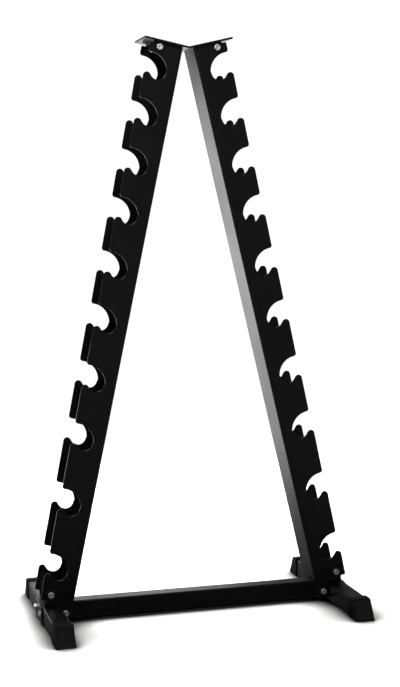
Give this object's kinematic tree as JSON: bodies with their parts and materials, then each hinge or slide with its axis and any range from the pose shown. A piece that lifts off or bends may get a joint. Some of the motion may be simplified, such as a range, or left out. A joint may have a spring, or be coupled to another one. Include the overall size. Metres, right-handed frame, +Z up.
{
  "type": "dumbbell rack",
  "caption": "Free-standing A-frame rack: two leaning channel uprights with open hook notches, a V-bent top plate, a crossbar and two feet with rubber shoes.",
  "frame": {"origin": "on the floor under the middle of the rack", "axes": "+X along the crossbar to the right upright, +Y from front to back, +Z up"},
  "size_m": [0.741, 0.4754, 1.32],
  "materials": {
    "powder_coat": "satin black powder coat",
    "rubber": "matte moulded",
    "zinc_steel": "zinc plated"
  },
  "bodies": {
    "root": {"crossbar": "powder_coat", "left_crossbar_bracket": "powder_coat", "left_end_bolt_front": "zinc_steel", "left_end_bolt_rear": "zinc_steel", "left_end_nut_front": "zinc_steel", "left_end_nut_rear": "zinc_steel", "left_foot": "powder_coat", "left_foot_saddle": "powder_coat", "left_front_shoe": "rubber", "left_rear_shoe": "rubber", "left_saddle_bolt": "zinc_steel", "left_saddle_nut": "zinc_steel", "left_side_bolt_front": "zinc_steel", "left_side_bolt_rear": "zinc_steel", "left_side_plate": "powder_coat", "left_top_bolt": "zinc_steel", "left_top_bracket": "powder_coat", "left_top_nut": "zinc_steel", "left_upright": "powder_coat", "right_crossbar_bracket": "powder_coat", "right_end_bolt_front": "zinc_steel", "right_end_bolt_rear": "zinc_steel", "right_end_nut_front": "zinc_steel", "right_end_nut_rear": "zinc_steel", "right_foot": "powder_coat", "right_foot_saddle": "powder_coat", "right_front_shoe": "rubber", "right_rear_shoe": "rubber", "right_saddle_bolt": "zinc_steel", "right_saddle_nut": "zinc_steel", "right_side_bolt_front": "zinc_steel", "right_side_bolt_rear": "zinc_steel", "right_side_plate": "powder_coat", "right_top_bolt": "zinc_steel", "right_top_bracket": "powder_coat", "right_top_nut": "zinc_steel", "right_upright": "powder_coat", "top_plate": "powder_coat"}
  },
  "joints": []
}
